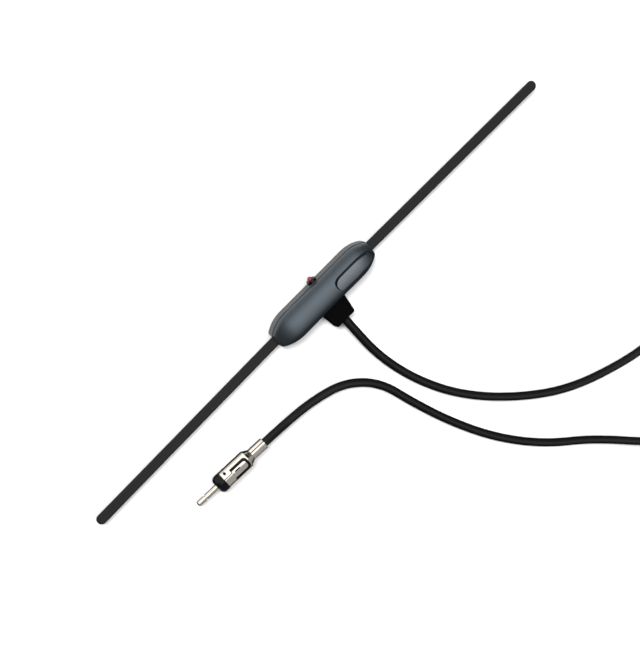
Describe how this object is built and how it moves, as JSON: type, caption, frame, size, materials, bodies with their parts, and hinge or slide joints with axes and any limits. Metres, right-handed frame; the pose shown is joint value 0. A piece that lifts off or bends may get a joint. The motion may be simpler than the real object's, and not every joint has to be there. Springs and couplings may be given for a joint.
{
  "type": "car windshield radio antenna",
  "caption": "Stick-on car windshield radio antenna: slim domed amplifier housing, flat flexible arms, pilot lamp, and a coaxial cable that ends in a car radio plug.",
  "frame": {"origin": "centre of the adhesive pad's outer face, which sticks to the glass", "axes": "+X along the arms towards the half of the cover with the recess, +Z away from the glass, +Y across towards the pilot lamp; the cable leaves towards -Y"},
  "size_m": [0.3678, 0.2717, 0.0146],
  "materials": {
    "base_plastic": "fine spark texture",
    "cover_plastic": "satin",
    "arm_plastic": "matt",
    "foam_tape": "closed-cell foam",
    "spring_steel": "rolled",
    "zinc_steel": "zinc plated",
    "tinned_steel": "tinned",
    "copper": "enamelled or tinned wire",
    "board_laminate": "lacquered",
    "part_resin": "moulded",
    "capacitor_sleeve": "shrink sleeve",
    "ferrite": "sintered",
    "lamp_epoxy": "tinted",
    "bezel_plastic": "satin",
    "boot_rubber": "matt",
    "cable_jacket": "satin",
    "core_insulation": "natural",
    "tie_nylon": "satin",
    "nickel_plate": "nickel plated",
    "plug_plastic": "satin"
  },
  "bodies": {
    "root": {"adhesive_pad": "foam_tape", "housing_base": "base_plastic", "housing_cover": "cover_plastic", "arm_sheath_right": "arm_plastic", "arm_strip_right": "spring_steel", "arm_sheath_left": "arm_plastic", "arm_strip_left": "spring_steel", "arm_screws": "zinc_steel", "cover_screws": "zinc_steel", "lamp_bezel": "bezel_plastic", "lamp_lens": "lamp_epoxy", "lamp_leads": "tinned_steel", "circuit_board": "board_laminate", "capacitor": "capacitor_sleeve", "choke_cores": "ferrite", "choke_windings": "copper", "filter_can": "tinned_steel", "transistors": "part_resin", "chip_parts": "part_resin", "cable_boot": "boot_rubber", "cable_braid": "copper", "cable_core": "core_insulation", "cable_wire": "copper", "cable_lead": "cable_jacket", "cable_coil": "cable_jacket", "cable_tail": "cable_jacket", "coil_tie": "tie_nylon", "plug_shell": "nickel_plate", "plug_insulator": "plug_plastic", "plug_pin": "nickel_plate", "plug_braid": "copper", "plug_core": "core_insulation", "plug_wire": "copper"}
  },
  "joints": []
}
